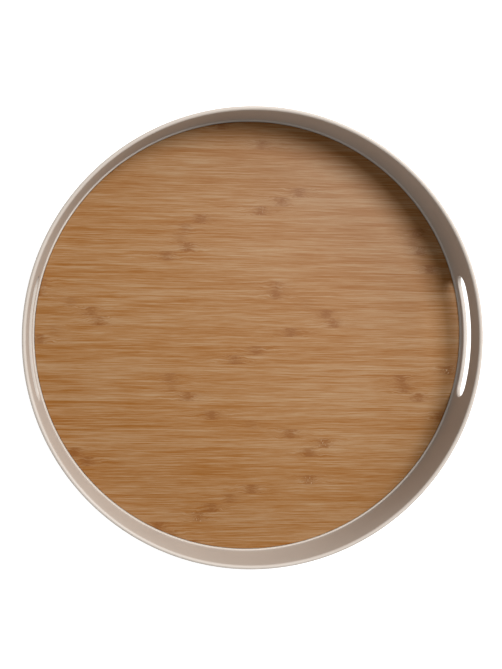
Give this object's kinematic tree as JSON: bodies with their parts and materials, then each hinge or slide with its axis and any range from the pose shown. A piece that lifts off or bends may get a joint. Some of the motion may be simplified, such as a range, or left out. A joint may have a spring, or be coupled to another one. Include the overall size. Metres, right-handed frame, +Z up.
{
  "type": "lazy susan turntable",
  "caption": "Round rimmed tray with two hand slots and a bamboo floor panel, turning on a ball ring above a low round base with rubber feet.",
  "frame": {"origin": "centre of the footprint, on the surface that the feet stand on", "axes": "+Z up along the turning axis, out of the tray; +X and -X through the hand slots at rest"},
  "size_m": [0.36, 0.36, 0.0741],
  "materials": {
    "taupe_plastic": "satin moulded",
    "bamboo": "matt lacquered, carbonised bamboo",
    "foam_tape": "white foam",
    "pressed_steel": "zinc plated, pressed",
    "zinc_screws": "bright zinc",
    "bearing_balls": "polished",
    "natural_nylon": "unfilled, slightly translucent",
    "brass": "machined",
    "rubber": "matt"
  },
  "bodies": {
    "base": {"base_shell": "taupe_plastic", "lower_race": "pressed_steel", "lower_race_screws": "zinc_screws", "pivot_bush": "natural_nylon", "centre_cap": "taupe_plastic", "foot_1": "rubber", "foot_2": "rubber", "foot_3": "rubber", "foot_4": "rubber", "foot_5": "rubber", "foot_6": "rubber"},
    "tray": {"tray_shell": "taupe_plastic", "bamboo_panel": "bamboo", "panel_tape": "foam_tape", "upper_race": "pressed_steel", "upper_race_screws": "zinc_screws", "hub_insert": "brass", "pivot_screw": "zinc_screws", "pivot_washer": "zinc_screws"},
    "cage": {"ball_cage": "natural_nylon", "ball_01": "bearing_balls", "ball_02": "bearing_balls", "ball_03": "bearing_balls", "ball_04": "bearing_balls", "ball_05": "bearing_balls", "ball_06": "bearing_balls", "ball_07": "bearing_balls", "ball_08": "bearing_balls", "ball_09": "bearing_balls", "ball_10": "bearing_balls", "ball_11": "bearing_balls", "ball_12": "bearing_balls", "ball_13": "bearing_balls", "ball_14": "bearing_balls", "ball_15": "bearing_balls", "ball_16": "bearing_balls", "ball_17": "bearing_balls", "ball_18": "bearing_balls", "ball_19": "bearing_balls", "ball_20": "bearing_balls", "ball_21": "bearing_balls", "ball_22": "bearing_balls", "ball_23": "bearing_balls", "ball_24": "bearing_balls"}
  },
  "joints": [
    {"name": "tray_spin", "type": "hinge", "parent": "base", "child": "tray", "pos_m": [0, 0, 0.0148], "axis": [0, 0, 1], "continuous": true},
    {"name": "cage_roll", "type": "hinge", "parent": "base", "child": "cage", "pos_m": [0, 0, 0.0148], "axis": [0, 0, 1], "continuous": true}
  ],
  "couplings": [
    {"joint": "cage_roll", "follows": "tray_spin", "ratio": 0.5}
  ]
}
